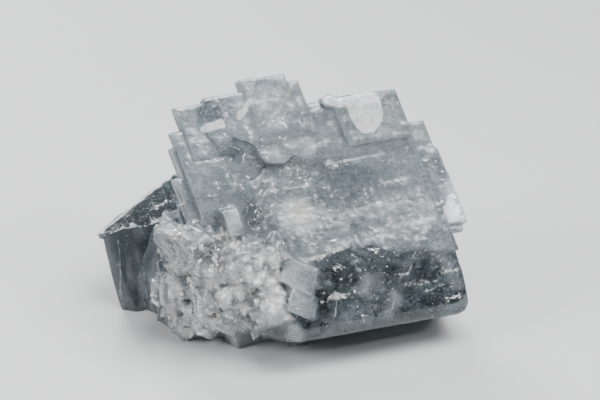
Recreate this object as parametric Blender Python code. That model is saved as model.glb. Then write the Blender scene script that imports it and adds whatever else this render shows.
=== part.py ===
"""A barite specimen: one intergrown cluster of crystals, cut off flat where it broke from its rock.

The main crystal is a thick pile of rhombic plates that grew parallel, so its outline is a flight of
steps. It leans back against smaller tablets, with a chisel-edged crystal on its left, a bright tablet
behind its right side, and a crust of small crystals over its lower left corner. The crystals grew
through each other, so they are joined in one solid.

Sizes are in millimetres, and MM turns them into Blender's metres. Z is up and the front looks along -Y.
"""

import math
import random

import bmesh
import bpy
from mathutils import Matrix, Vector

MM = 0.001
NODE = "barite_cluster"
SEED = 44

# Barite's prism faces meet at 78.3 and 101.7 degrees, so the side edges lean this far off square.
OBLIQUE = 11.7

# The middle of the footprint, in the frame in which the crystals are measured.
CENTRE = Vector((-4.18, 15.36, 0.0))

# The main crystal: its lower right front corner, and how the pile turns and leans back.
MAIN_CORNER = Vector((36.8, 0.0, 9.2))
MAIN_YAW = 20.0
MAIN_TILT = 30.0
STEP_CUT = 0.22

# Corners closer than this are one.
WELD = 0.002

# The pile's plates, as left, right, low, high, back and front. The first four are measured along the
# plate's lower edge and up its side edge, and the last two out of its broad face.
PILE = (
    (-34.0, 1.0, 12.0, 40.4, -15.2, -1.7),
    (-8.0, 3.5, 14.2, 25.0, -8.6, -0.9),
    (-12.0, 7.1, 29.0, 44.1, -7.3, -2.2),
    (-19.4, 2.6, 36.4, 51.5, -9.6, -0.1),
    (-30.9, -20.9, 46.0, 58.6, -3.1, 1.7),
    (-25.0, -18.4, 45.0, 56.7, -4.2, 1.5),
    (-28.6, -21.4, 42.0, 57.6, -10.1, -2.8),
    (-46.5, -37.6, 43.0, 54.8, -2.4, 0.9),
    (-49.0, -40.0, 36.0, 49.7, -2.7, 0.4),
    (-39.4, -19.6, 38.0, 55.1, -8.7, -1.9),
    (-34.4, -18.2, 34.0, 53.7, -12.9, -6.8),
    (-49.6, -31.0, 35.4, 46.6, -5.2, -0.9),
    (-51.3, -30.0, 31.6, 40.0, -5.8, -1.2),
    (-52.3, -32.0, 27.4, 34.6, -4.7, -1.4),
    (-49.4, -30.0, 24.6, 36.2, -8.8, -1.9),
    (-46.8, -30.0, 16.0, 44.2, -12.8, -4.9),
    (-45.0, -12.0, 21.4, 36.0, -14.2, -2.6),
    (-30.0, 4.0, 5.0, 33.0, -19.4, -11.0),
    (-24.0, -2.0, 20.0, 47.2, -17.6, -9.0),
    (-40.0, -20.0, 24.0, 41.0, -20.3, -12.0),
    (-22.0, -6.0, 18.0, 38.0, -22.4, -15.0),
)

# The layer over the pile's upper left, whose lower edge broke off ragged.
UPPER_LAYER = (
    (-41.5, 52.6), (-41.8, 47.5), (-40.6, 45.4), (-36.4, 46.6), (-33.5, 43.9), (-31.7, 40.0),
    (-28.1, 39.4), (-24.2, 41.4), (-21.4, 42.8), (-18.8, 46.5), (-18.6, 55.2), (-20.0, 55.9), (-39.6, 55.9),
)
UPPER_LAYER_DEPTHS = (-2.25, 1.3)

# The layer over the middle of the pile, whose left side ends unevenly.
MIDDLE_LAYER = (
    (-35.4, 13.0), (1.2, 13.0), (1.2, 40.8), (-30.6, 40.8), (-33.2, 37.6), (-37.8, 35.6), (-39.6, 32.4),
    (-37.0, 29.6), (-39.2, 26.0), (-36.2, 22.0), (-37.6, 18.4),
)
MIDDLE_LAYER_DEPTHS = (-4.1, -0.6)

# The plate at the pile's right edge, with a broken notch under its corner.
NOTCHED_PLATE = (
    (-14.0, 24.2), (4.0, 24.4), (4.9, 25.2), (5.7, 26.6), (7.1, 27.0), (7.7, 28.2), (7.4, 37.3), (6.8, 37.9),
    (-14.0, 37.9),
)
NOTCHED_PLATE_DEPTHS = (-10.4, -1.2)

# The thin layer over the pile's upper right, with a ragged lip at its top left.
CORNER_LAYER = (
    (-12.7, 40.7), (2.2, 40.7), (2.2, 51.8), (-10.7, 52.0), (-11.3, 51.7), (-12.4, 52.7), (-14.2, 52.3),
    (-15.2, 51.2), (-14.9, 50.0), (-12.8, 49.4),
)
CORNER_LAYER_DEPTHS = (-2.6, 0.9)

# The clear slab along the pile's lower edge, whose side edge leans less than the others. Its corners
# are listed on the broad face, on the bevel's outer edge, and on the back.
SLAB_OBLIQUE = 5.7
SLAB_BEVEL = 1.7
SLAB_BACK = -19.6
SLAB_FACE = (
    (-43.0, 5.6), (-37.6, 3.3), (-2.4, 2.6), (-0.6, 3.4), (0.7, 5.4), (1.0, 10.0), (0.4, 18.9), (-41.0, 18.7),
)
SLAB_RIM = (
    (-44.4, 3.6), (-38.4, 0.7), (-1.8, 0.1), (0.0, 0.6), (1.2, 2.2), (1.5, 4.4), (1.5, 10.0), (0.8, 19.2),
    (-42.0, 19.0),
)

# The dish left where a crystal came away under the upper layer: centre, reach along, up and out.
DISH = ((-37.4, 42.8, 1.0), (5.2, 3.4, 2.6))

# The bright tablet behind the pile's right side.
BRIGHT_CORNER = Vector((37.4, 14.9, 23.1))
BRIGHT_YAW = 20.0
BRIGHT_TILT = 52.0
BRIGHT_OBLIQUE = 3.0
BRIGHT_PLATES = (
    (-26.0, 0.0, 0.8, 13.4, -1.7, 0.0),
    (-24.0, -0.9, -0.4, 11.8, -3.4, -1.2),
    (-22.0, -6.0, -3.4, 8.0, -9.0, -2.9),
)

# The chisel-edged crystal on the left, by its corners: the tip, its front face, and its back.
LEFT_CRYSTAL = (
    (-44.5, 18.3, 19.1), (-44.0, 18.3, 17.0), (-42.5, 18.0, 11.5), (-41.3, 17.6, 7.3), (-41.2, 16.6, 2.6),
    (-40.4, 16.4, -1.0), (-36.8, 15.2, -1.0), (-38.3, 23.8, 19.1), (-26.0, 34.9, 19.1), (-24.0, 28.0, -1.0),
    (-43.6, 20.6, 19.4), (-39.6, 25.2, 20.3), (-36.0, 29.3, 22.0), (-29.1, 36.9, 24.3), (-24.0, 41.4, 25.4),
    (-31.0, 40.0, 8.0), (-38.0, 29.6, 4.0), (-38.6, 25.0, -1.0), (-25.0, 38.0, -1.0), (-12.0, 38.0, 20.0),
    (-12.0, 30.0, 19.0),
)
LEFT_COLUMN = (
    (-35.2, 16.8, -1.0), (-36.2, 18.0, 9.0), (-34.4, 17.4, 13.6), (-31.4, 13.8, -1.0), (-30.0, 10.0, 14.0),
    (-27.0, 12.0, 19.0), (-33.0, 20.0, 19.4), (-24.0, 20.0, 20.0), (-20.0, 20.0, -1.0), (-30.0, 26.0, 10.0),
)

# What fills the cluster under the crust and behind the pile, by its corners.
CRUST_CORE = (
    (-27.0, 9.0, -1.0), (-23.0, 6.4, -1.0), (-16.4, 5.0, -1.0), (-10.0, 3.4, -1.0), (-4.0, 5.0, -1.0),
    (-26.4, 2.0, 27.0), (-20.0, -4.4, 30.0), (-12.0, -3.6, 29.0), (-5.0, -3.4, 25.0), (0.0, -1.0, 18.0),
    (-2.0, -1.6, 11.0), (-9.0, -2.6, 12.0), (-16.0, -4.0, 14.0), (-28.0, 5.4, 15.0), (-20.0, 24.0, -1.0),
    (-2.0, 22.0, -1.0), (-22.0, 18.0, 24.0), (-5.0, 14.0, 22.0),
)
BASE_KNOT = (
    (-6.0, 16.0, -1.0), (14.0, 17.0, -1.0), (26.0, 20.0, -1.0), (29.0, 27.0, -1.0), (18.0, 34.0, -1.0),
    (-2.0, 37.0, -1.0), (-16.0, 33.0, -1.0), (0.0, 14.0, 14.0), (18.0, 19.0, 13.0), (25.0, 26.0, 9.0),
    (12.0, 31.0, 14.0), (-10.0, 31.0, 15.0), (-12.0, 22.0, 18.0),
)

# Larger crystals set one by one: centre; length, height and thickness; yaw, tilt and spin.
SET_CRYSTALS = (
    # The two white blades over the pile's lower left.
    ((0.2, -7.0, 22.4), (7.2, 5.6, 2.2), (-4.0, 24.0, 19.0)),
    ((0.9, -8.8, 17.6), (5.0, 5.4, 2.0), (4.0, 26.0, 13.0)),
    ((-2.6, -6.2, 19.4), (6.4, 7.4, 4.0), (-22.0, 20.0, 24.0)),
    # The block that stands on the pile's face.
    ((-14.1, -5.0, 34.5), (3.6, 6.2, 4.8), (12.0, 24.0, -4.0)),
    # The clear crystals that the cluster stands on.
    ((-1.3, 4.3, 3.0), (4.8, 9.0, 6.0), (8.0, 6.0, 4.0)),
    ((-13.2, 4.6, 4.0), (9.4, 9.6, 8.4), (32.0, -6.0, -6.0)),
    ((-23.6, 6.9, 2.8), (9.0, 8.0, 6.6), (18.0, -8.0, 5.0)),
    ((-28.4, 12.0, 6.8), (5.0, 14.0, 5.8), (-32.0, 4.0, 12.0)),
    # The pale nub at the left crystal's tip.
    ((-44.2, 18.5, 18.3), (1.9, 1.5, 1.5), (40.0, 10.0, 0.0)),
    # The white cluster's blocks.
    ((-30.6, 8.4, 12.0), (2.0, 5.2, 3.2), (-28.0, 16.0, 8.0)),
    ((-29.0, 7.0, 11.6), (2.2, 6.0, 3.4), (-22.0, 14.0, 5.0)),
    ((-27.2, 5.4, 11.4), (2.6, 5.6, 3.6), (-16.0, 18.0, -3.0)),
    # Flakes at the crust's upper left.
    ((-27.8, -0.4, 31.6), (3.4, 4.2, 3.0), (-30.0, 20.0, 20.0)),
    ((-28.2, 1.2, 27.0), (3.0, 4.6, 3.0), (-36.0, 10.0, -14.0)),
    ((-27.6, 3.0, 21.6), (3.4, 6.0, 4.0), (-40.0, 6.0, 6.0)),
    # Tablets that cross behind the pile and carry it.
    ((-4.0, 25.4, 17.0), (33.0, 38.0, 8.6), (158.0, 24.0, 8.0)),
    ((19.0, 25.0, 12.6), (23.0, 30.0, 8.2), (128.0, 17.0, -12.0)),
    ((-14.0, 32.0, 11.0), (20.0, 26.0, 6.4), (196.0, 12.0, -20.0)),
    ((8.0, 33.0, 8.0), (15.0, 19.0, 6.0), (170.0, 30.0, 30.0)),
    ((-2.0, 27.6, 27.6), (15.0, 13.0, 5.6), (166.0, 34.0, -14.0)),
    ((24.0, 20.4, 21.0), (9.0, 12.0, 5.0), (110.0, 20.0, 18.0)),
    # Crystals in the corner between the pile and the left crystal.
    ((-23.6, 22.4, 17.6), (11.0, 12.0, 8.0), (60.0, 40.0, 10.0)),
    ((-18.0, 25.0, 23.4), (10.0, 12.0, 6.0), (200.0, 42.0, -20.0)),
    ((-28.6, 27.6, 15.4), (9.0, 12.0, 6.6), (84.0, 34.0, 24.0)),
    ((-24.4, 14.6, 21.6), (7.0, 8.0, 5.0), (-64.0, 34.0, -14.0)),
)

# The crust: its outline seen from the front, as x and z, and how its surface runs behind that.
CRUST_OUTLINE = (
    (-29.0, 32.4), (-26.7, 33.6), (-22.6, 33.4), (-19.5, 32.0), (-16.3, 31.2), (-12.1, 31.4), (-10.1, 29.2),
    (-8.0, 28.0), (-3.8, 26.6), (-2.0, 24.0), (-1.0, 15.0), (0.8, 10.6), (-0.6, 8.6), (-5.6, 7.6),
    (-10.0, 5.4), (-14.0, 8.0), (-18.6, 5.6), (-22.7, 4.2), (-27.0, 5.0), (-30.4, 10.0), (-31.0, 14.0), (-28.0, 19.0),
    (-28.4, 26.0),
)
CRUST_FOOT = -0.5
CRUST_LEAN = 0.36
CRUST_TURN_X = -16.0
CRUST_TURN = 0.6
CRUST_CRYSTALS = 78
CRUST_SPACING = 2.3
CRUST_SIZES = (2.8, 4.8)

# The rough back: how its small crystals are spread around the foot.
BACK_CRYSTALS = 26
BACK_MIDDLE = (-1.0, 21.0)
BACK_REACH = (25.0, 14.5)
BACK_TURN = (-12.0, 196.0)
BACK_RISE = (1.0, 15.0)
BACK_SIZES = (4.6, 9.0)


def setting(place, yaw, tilt, spin=0.0, oblique=OBLIQUE):
    """A crystal's own directions: along its lower edge, up its side edge, and out of its broad face."""
    turn = Matrix.Rotation(math.radians(yaw), 3, "Z") @ Matrix.Rotation(math.radians(-tilt), 3, "X")
    turn = turn @ Matrix.Rotation(math.radians(spin), 3, "Y")
    lean = math.radians(oblique)
    along = turn @ Vector((1, 0, 0))
    up = turn @ Vector((-math.sin(lean), 0, math.cos(lean)))
    out = turn @ Vector((0, -1, 0))
    frame = Matrix((along, up, out)).transposed().to_4x4()
    frame.translation = Vector(place) - CENTRE
    return Matrix.Scale(MM, 4) @ frame


def place_only():
    """The frame of shapes whose corners are given in the specimen's own millimetres."""
    return Matrix.Scale(MM, 4) @ Matrix.Translation(-CENTRE)


def new_object(name, bm, collection):
    """A mesh object made from a bmesh, which is freed."""
    bmesh.ops.recalc_face_normals(bm, faces=bm.faces)
    bmesh.ops.triangulate(bm, faces=bm.faces)
    mesh = bpy.data.meshes.new(name)
    bm.to_mesh(mesh)
    bm.free()
    obj = bpy.data.objects.new(name, mesh)
    collection.objects.link(obj)
    return obj


def gem(name, collection, frame, corners):
    """The flat-faced crystal whose corners are given in its own frame."""
    bm = bmesh.new()
    verts = [bm.verts.new(frame @ Vector(corner)) for corner in corners]
    hull = bmesh.ops.convex_hull(bm, input=verts)
    spare = [item for item in hull["geom_interior"] if isinstance(item, bmesh.types.BMVert)]
    bmesh.ops.delete(bm, geom=spare, context="VERTS")
    return new_object(name, bm, collection)


def tablet(name, collection, frame, extents, cut, sharp=False):
    """A rhombic tablet between six limits, with its rim cut on both sides, to a ridge if it's sharp."""
    left, right, low, high, back, front = extents
    levels = ((back, cut), (back + cut, 0), (front - cut, 0), (front, cut))
    if sharp:
        levels = ((back, cut), ((back + front) / 2, 0), (front, cut))
    corners = []
    for out, inset in levels:
        for along in (left + inset, right - inset):
            for up in (low + inset, high - inset):
                corners.append((along, up, out))
    return gem(name, collection, frame, corners)


def free_tablet(name, collection, place, sizes, angles, cut):
    """A rhombic tablet about its own centre."""
    length, height, thick = (size / 2 for size in sizes)
    extents = (-length, length, -height, height, -thick, thick)
    return tablet(name, collection, setting(place, *angles), extents, cut, sharp=True)


def sheet(name, collection, frame, outline, depths, cut):
    """A growth layer with a free outline and slightly cut edges."""
    bm = bmesh.new()
    back, front = depths
    base = bm.faces.new([bm.verts.new(frame @ Vector((along, up, back))) for along, up in outline])
    grown = bmesh.ops.extrude_face_region(bm, geom=[base])
    lift = frame.to_3x3() @ Vector((0, 0, front - back))
    raised = [item for item in grown["geom"] if isinstance(item, bmesh.types.BMVert)]
    bmesh.ops.translate(bm, vec=lift, verts=raised)
    bmesh.ops.recalc_face_normals(bm, faces=bm.faces)
    rims = [edge for edge in bm.edges if abs(edge.calc_face_angle(0.0)) > 1.0]
    bmesh.ops.bevel(bm, geom=rims, offset=cut * MM, segments=1, affect="EDGES", clamp_overlap=True)
    return new_object(name, bm, collection)


def main_front(x, z):
    """How far back the pile's broad face is at a place seen from the front."""
    yaw = math.radians(MAIN_YAW)
    tilt = math.radians(MAIN_TILT)
    across = math.sin(yaw) * math.cos(tilt) * (x - MAIN_CORNER.x)
    return (across + math.sin(tilt) * (z - MAIN_CORNER.z)) / (math.cos(yaw) * math.cos(tilt)) + MAIN_CORNER.y


def crust_front(x, z):
    """How far back the crust's surface is at a place seen from the front."""
    own = CRUST_FOOT - CRUST_LEAN * z + CRUST_TURN * max(0.0, CRUST_TURN_X - x)
    return max(own, main_front(x, z) - 1.0)


def inside(outline, x, z):
    """Whether a place lies inside a closed outline."""
    found = False
    for (x0, z0), (x1, z1) in zip(outline, outline[1:] + outline[:1]):
        if (z0 > z) != (z1 > z) and x < x0 + (x1 - x0) * (z - z0) / (z1 - z0):
            found = not found
    return found


def pile(collection):
    """The main crystal's plates, layers and slab, apart from the first plate."""
    frame = setting(MAIN_CORNER, MAIN_YAW, MAIN_TILT)
    for number, extents in enumerate(PILE[1:]):
        tablet(f"plate_{number}", collection, frame, extents, STEP_CUT)
    sheet("upper_layer", collection, frame, UPPER_LAYER, UPPER_LAYER_DEPTHS, STEP_CUT)
    sheet("middle_layer", collection, frame, MIDDLE_LAYER, MIDDLE_LAYER_DEPTHS, STEP_CUT)
    sheet("notched_plate", collection, frame, NOTCHED_PLATE, NOTCHED_PLATE_DEPTHS, STEP_CUT)
    sheet("corner_layer", collection, frame, CORNER_LAYER, CORNER_LAYER_DEPTHS, STEP_CUT)
    frame = setting(MAIN_CORNER, MAIN_YAW, MAIN_TILT, oblique=SLAB_OBLIQUE)
    corners = [(along, up, 0.0) for along, up in SLAB_FACE]
    corners += [(along, up, out) for along, up in SLAB_RIM for out in (-SLAB_BEVEL, SLAB_BACK)]
    gem("slab", collection, frame, corners)


def crust(collection, rng):
    """Small crystals spread over the crust, no two too close."""
    places = []
    xs = [x for x, z in CRUST_OUTLINE]
    zs = [z for x, z in CRUST_OUTLINE]
    tries = 0
    while len(places) < CRUST_CRYSTALS and tries < 6000:
        tries += 1
        x = rng.uniform(min(xs), max(xs))
        z = rng.uniform(min(zs), max(zs))
        near = any(math.hypot(x - px, z - pz) < CRUST_SPACING for px, pz in places)
        if inside(CRUST_OUTLINE, x, z) and not near:
            places.append((x, z))
    for number, (x, z) in enumerate(places):
        size = rng.uniform(*CRUST_SIZES)
        sizes = (size, size * rng.uniform(0.8, 1.3), size * rng.uniform(0.5, 0.85))
        angles = (rng.uniform(-62, 34), rng.uniform(-24, 58), rng.uniform(-50, 50))
        place = (x, crust_front(x, z) + rng.uniform(0.6, 2.0), z)
        free_tablet(f"crust_{number}", collection, place, sizes, angles, size * rng.uniform(0.1, 0.2))


def rough_back(collection, rng):
    """Crystals of several sizes around the cluster's foot at the back."""
    for number in range(BACK_CRYSTALS):
        turn = math.radians(rng.uniform(*BACK_TURN))
        reach = rng.uniform(0.66, 0.98)
        x = BACK_MIDDLE[0] + BACK_REACH[0] * math.cos(turn) * reach
        y = BACK_MIDDLE[1] + BACK_REACH[1] * math.sin(turn) * reach
        z = rng.uniform(*BACK_RISE)
        size = rng.uniform(*BACK_SIZES)
        sizes = (size, size * rng.uniform(0.8, 1.4), size * rng.uniform(0.3, 0.6))
        facing = math.degrees(turn) + 90
        angles = (facing + rng.uniform(-45, 45), rng.uniform(-10, 55), rng.uniform(-40, 40))
        free_tablet(f"back_{number}", collection, (x, y, z), sizes, angles, size * rng.uniform(0.06, 0.14))


def cutters(collection):
    """What is taken away: the ground below the cut base, and the dish in the pile's face."""
    bm = bmesh.new()
    low = Matrix.Translation((0, 0, -20 * MM)) @ Matrix.Diagonal((200 * MM, 200 * MM, 40 * MM, 1))
    bmesh.ops.create_cube(bm, size=1, matrix=low)
    new_object("ground", bm, collection)
    bm = bmesh.new()
    middle, reach = DISH
    shape = Matrix.Translation(middle) @ Matrix.Diagonal((*reach, 1))
    frame = setting(MAIN_CORNER, MAIN_YAW, MAIN_TILT)
    bmesh.ops.create_icosphere(bm, subdivisions=2, radius=1, matrix=frame @ shape)
    new_object("dish", bm, collection)


def combine(body, collection, operation, name):
    """A Boolean of the body with everything in a collection."""
    step = body.modifiers.new(name, "BOOLEAN")
    step.operation = operation
    step.operand_type = "COLLECTION"
    step.collection = collection
    step.solver = "EXACT"
    for obj in collection.objects:
        obj.hide_render = True
        obj.display_type = "WIRE"


def shells(bm):
    """The separate surfaces of a mesh, each as a set of vertices, the largest first."""
    found = []
    left = set(bm.verts)
    while left:
        shell = set()
        fresh = {left.pop()}
        while fresh:
            shell |= fresh
            fresh = {edge.other_vert(vert) for vert in fresh for edge in vert.link_edges} - shell
        left -= shell
        found.append(shell)
    return sorted(found, key=len, reverse=True)


def make_solid(body):
    """Applies the Booleans, and fills the sealed pockets that are left between crystals."""
    bpy.context.view_layer.update()
    joined = body.evaluated_get(bpy.context.evaluated_depsgraph_get())
    mesh = bpy.data.meshes.new_from_object(joined)
    body.modifiers.clear()
    bm = bmesh.new()
    bm.from_mesh(mesh)
    bmesh.ops.remove_doubles(bm, verts=bm.verts, dist=WELD * MM)
    pockets = [vert for shell in shells(bm)[1:] for vert in shell]
    bmesh.ops.delete(bm, geom=pockets, context="VERTS")
    bm.to_mesh(mesh)
    bm.free()
    body.data = mesh


def new_collection(name):
    """A collection linked to the scene."""
    collection = bpy.data.collections.new(name)
    bpy.context.scene.collection.children.link(collection)
    return collection


def pale_mineral():
    """A pale blue-grey, slightly glossy material."""
    material = bpy.data.materials.new("barite")
    material.use_nodes = True
    shader = material.node_tree.nodes["Principled BSDF"]
    shader.inputs["Base Color"].default_value = (0.52, 0.6, 0.66, 1)
    shader.inputs["Roughness"].default_value = 0.28
    return material


def main():
    for obj in list(bpy.data.objects):
        bpy.data.objects.remove(obj)
    rng = random.Random(SEED)
    specimen = new_collection("barite")
    grown = new_collection("growth_shapes")
    taken = new_collection("taken_away")
    body = tablet(NODE, specimen, setting(MAIN_CORNER, MAIN_YAW, MAIN_TILT), PILE[0], STEP_CUT)
    body.data.materials.append(pale_mineral())
    pile(grown)
    bright = setting(BRIGHT_CORNER, BRIGHT_YAW, BRIGHT_TILT, oblique=BRIGHT_OBLIQUE)
    for number, extents in enumerate(BRIGHT_PLATES):
        tablet(f"bright_{number}", grown, bright, extents, STEP_CUT)
    masses = (LEFT_CRYSTAL, LEFT_COLUMN, CRUST_CORE, BASE_KNOT)
    for number, corners in enumerate(masses):
        gem(f"mass_{number}", grown, place_only(), corners)
    for number, (place, sizes, angles) in enumerate(SET_CRYSTALS):
        free_tablet(f"set_{number}", grown, place, sizes, angles, 0.09 * min(sizes))
    crust(grown, rng)
    rough_back(grown, rng)
    cutters(taken)
    combine(body, grown, "UNION", "grown_together")
    combine(body, taken, "DIFFERENCE", "cut_away")
    make_solid(body)


main()
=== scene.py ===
"""A barite specimen dressed for rendering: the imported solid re-cut as weathered, half-clear crystal.

Lengths are in millimetres, in the CAD's frame, until a mesh is written; MM turns them into metres.
Pixels are those of the picture that the camera below gives, 600 by 400.
"""
import math

import bmesh
import bpy
import numpy as np
from mathutils import Matrix, Vector
from mathutils.bvhtree import BVHTree


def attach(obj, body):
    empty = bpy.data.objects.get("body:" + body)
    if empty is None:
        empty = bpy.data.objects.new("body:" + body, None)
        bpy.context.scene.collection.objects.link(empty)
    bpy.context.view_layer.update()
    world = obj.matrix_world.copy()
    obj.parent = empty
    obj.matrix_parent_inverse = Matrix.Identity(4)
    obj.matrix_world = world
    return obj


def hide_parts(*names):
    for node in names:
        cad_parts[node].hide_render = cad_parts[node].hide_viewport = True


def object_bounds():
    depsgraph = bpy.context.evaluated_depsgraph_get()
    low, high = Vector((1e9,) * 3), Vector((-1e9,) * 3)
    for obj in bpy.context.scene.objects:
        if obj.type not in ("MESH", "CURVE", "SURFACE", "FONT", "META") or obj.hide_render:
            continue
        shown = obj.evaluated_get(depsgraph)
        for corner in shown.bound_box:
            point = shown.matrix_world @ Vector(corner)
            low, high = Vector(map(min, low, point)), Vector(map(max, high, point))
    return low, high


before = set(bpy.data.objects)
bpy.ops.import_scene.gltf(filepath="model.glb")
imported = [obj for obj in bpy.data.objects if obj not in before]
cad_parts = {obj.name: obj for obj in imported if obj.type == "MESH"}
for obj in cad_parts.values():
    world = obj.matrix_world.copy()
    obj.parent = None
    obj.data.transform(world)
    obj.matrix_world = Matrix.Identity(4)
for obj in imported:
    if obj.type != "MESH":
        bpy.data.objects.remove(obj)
CAD_LO, CAD_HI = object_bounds()

MM = 0.001
NODE = "barite_cluster"
SEED = 7
LO, HI = np.array(CAD_LO) / MM, np.array(CAD_HI) / MM

# The main crystal's frame: its lower right front corner, and its directions along, up and out.
CORNER = np.array((40.98, -15.36, 9.2))
YAW, TILT, OBLIQUE = (math.radians(v) for v in (20.0, 30.0, 11.7))
ALONG = np.array((math.cos(YAW), math.sin(YAW), 0.0))
RISE = np.array((-math.sin(YAW) * math.sin(TILT), math.cos(YAW) * math.sin(TILT), math.cos(TILT)))
OUT = np.array((math.sin(YAW) * math.cos(TILT), -math.cos(YAW) * math.cos(TILT), math.sin(TILT)))
SIDE = math.cos(OBLIQUE) * RISE - math.sin(OBLIQUE) * ALONG
P_AXIS = ALONG + math.tan(OBLIQUE) * RISE
Q_AXIS = RISE / math.cos(OBLIQUE)

# The camera, then the picture's middle and the focal length in pixels.
EYE = np.array((4.18, -355.84, 218.06))
PITCH = 28.0
LENS = 110
MID_X, MID_Y = 300, 200
FOCAL_PX = 1833.0
AHEAD = np.array((0, math.cos(math.radians(PITCH)), -math.sin(math.radians(PITCH))))
UPWARD = np.array((0, math.sin(math.radians(PITCH)), math.cos(math.radians(PITCH))))

# How fine the body's skin is, and how many triangles are kept.
VOXEL = 0.18
BODY_TRIS = 185000

# The least gap between a tablet and the sides of the object's box.
BOX_MARGIN = 0.03

# The faces of a tablet whose corners come in three levels of four.
TABLET_FACES = ((0, 2, 3, 1), (8, 9, 11, 10)) + tuple(
    (low + one, low + two, low + 4 + two, low + 4 + one)
    for low in (0, 4)
    for one, two in ((0, 2), (2, 3), (3, 1), (1, 0))
)


def new_collection(name):
    coll = bpy.data.collections.new(name)
    bpy.context.scene.collection.children.link(coll)
    return coll


PIECES = new_collection("pieces")
STUDIO = new_collection("studio")


# ---- numbers over many points at once
def stream(number):
    """Random numbers that are the same on every run."""
    return np.random.RandomState(SEED + number)


class Noise:
    """Smooth lattice noise in -1..1 over an array of points."""

    cells = 32

    def __init__(self, number):
        self.table = stream(number).uniform(-1, 1, (self.cells, self.cells, self.cells))

    def at(self, points, size):
        where = points / size
        base = np.floor(where).astype(int)
        part = where - base
        part = part * part * (3 - 2 * part)
        total = 0
        for corner in range(8):
            step = np.array((corner & 1, corner >> 1 & 1, corner >> 2 & 1))
            ids = (base + step) % self.cells
            share = np.where(step, part, 1 - part).prod(1)
            total = total + share * self.table[ids[:, 0], ids[:, 1], ids[:, 2]]
        return total

    def layered(self, points, size, octaves=3):
        return sum(self.at(points + 17.3 * n, size / 2**n) / 2**n for n in range(octaves))

    def shifts(self, points, size, offsets):
        """A noise vector at each point."""
        return np.stack([self.at(points + off, size) for off in offsets], 1)


def facets(points, size, number):
    """Flat tilted facets over scattered cells, as a height in cell sizes."""
    rng = stream(number)
    cells = 24
    jitter = rng.uniform(0.1, 0.9, (cells, cells, cells, 3))
    tilt = rng.normal(0, 1, (cells, cells, cells, 3))
    drop = rng.uniform(-0.3, 0.3, (cells, cells, cells))
    where = points / size
    base = np.floor(where).astype(int)
    best = np.full(len(points), 1e9)
    height = np.zeros(len(points))
    for step in np.ndindex(3, 3, 3):
        cell = base + np.array(step) - 1
        ids = tuple((cell % cells).T)
        gap = where - cell - jitter[ids]
        far = (gap**2).sum(1)
        nearer = far < best
        best = np.where(nearer, far, best)
        height = np.where(nearer, (gap * tilt[ids]).sum(1) * 0.5 + drop[ids], height)
    return height


def smooth(low, high, value):
    t = np.clip((value - low) / (high - low), 0, 1)
    return t * t * (3 - 2 * t)


def unit(vector):
    return vector / np.linalg.norm(vector)


def unit_rows(vectors):
    return vectors / np.linalg.norm(vectors, axis=1)[:, None]


def stretched(points, share):
    """Points scaled in height, so that noise over them runs in upright streaks."""
    return np.stack([points[:, 0], points[:, 1], share * points[:, 2]], 1)


def own_frame(points):
    """Where points lie in the main crystal: along, up and out."""
    rel = points - CORNER
    return np.stack([rel @ P_AXIS, rel @ Q_AXIS, rel @ OUT], 1)


def from_own(p, q, k):
    return CORNER + ALONG * p + SIDE * q + OUT * k


def seen_at(points):
    """Where points fall in the picture, in pixels."""
    rel = points - EYE
    depth = rel @ AHEAD
    return np.stack([MID_X + FOCAL_PX * rel[:, 0] / depth, MID_Y - FOCAL_PX * (rel @ UPWARD) / depth], 1)


def ray_at(x, y):
    """The direction from the eye through a pixel."""
    return unit(AHEAD + np.array((1, 0, 0)) * (x - MID_X) / FOCAL_PX - UPWARD * (y - MID_Y) / FOCAL_PX)


def outline_gap(spots, outline):
    """How far each spot is from a closed outline, negative inside."""
    best = np.full(len(spots), 1e9)
    within = np.zeros(len(spots), bool)
    corners = [np.array(c, float) for c in outline]
    for a, b in zip(corners, corners[1:] + corners[:1]):
        edge = b - a
        along = np.clip((spots - a) @ edge / (edge @ edge), 0, 1)
        best = np.minimum(best, np.linalg.norm(spots - a - along[:, None] * edge, axis=1))
        crosses = (a[1] > spots[:, 1]) != (b[1] > spots[:, 1])
        if a[1] != b[1]:
            within ^= crosses & (spots[:, 0] < a[0] + (b[0] - a[0]) * (spots[:, 1] - a[1]) / (b[1] - a[1]))
    return np.where(within, -best, best)


def soft_ovals(seen, ovals, ragged):
    """The sum of soft ovals with ragged rims."""
    total = np.zeros(len(seen))
    for x, y, rx, ry, turn, amount in ovals:
        c, s = math.cos(math.radians(turn)), math.sin(math.radians(turn))
        dx, dy = seen[:, 0] - x, seen[:, 1] - y
        away = np.hypot((dx * c + dy * s) / rx, (dy * c - dx * s) / ry)
        total += amount * smooth(1.5, 0.5, away + ragged)
    return total


# ---- meshes
def rows(items, key, width=3, kind=float):
    """One property of every item, as rows."""
    flat = np.empty(len(items) * width, dtype=kind)
    items.foreach_get(key, flat)
    return flat.reshape(-1, width)


def coords(mesh):
    return rows(mesh.vertices, "co") / MM


def set_coords(mesh, points):
    mesh.vertices.foreach_set("co", (points * MM).astype(np.float32).ravel())
    mesh.update()


def edge_ends(mesh):
    """The two vertices of every edge."""
    return rows(mesh.edges, "vertices", 2, int).T


def edges_at(a, b, total):
    """How many of the edges meet at each vertex, or 1 where none does."""
    return np.maximum(np.bincount(np.concatenate([a, b]), minlength=total), 1)


def crests(mesh, points, out):
    """How far each point stands out from its neighbours."""
    a, b = edge_ends(mesh)
    gap = points[b] - points[a]
    gap /= np.maximum(np.linalg.norm(gap, axis=1), 1e-6)[:, None]
    total = np.bincount(b, (gap * out[b]).sum(1), len(points))
    total -= np.bincount(a, (gap * out[a]).sum(1), len(points))
    return total / edges_at(a, b, len(points))


def store(mesh, name, values):
    layer = mesh.attributes.new(name, "FLOAT", "POINT")
    layer.data.foreach_set("value", np.asarray(values, dtype=np.float32))


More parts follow.
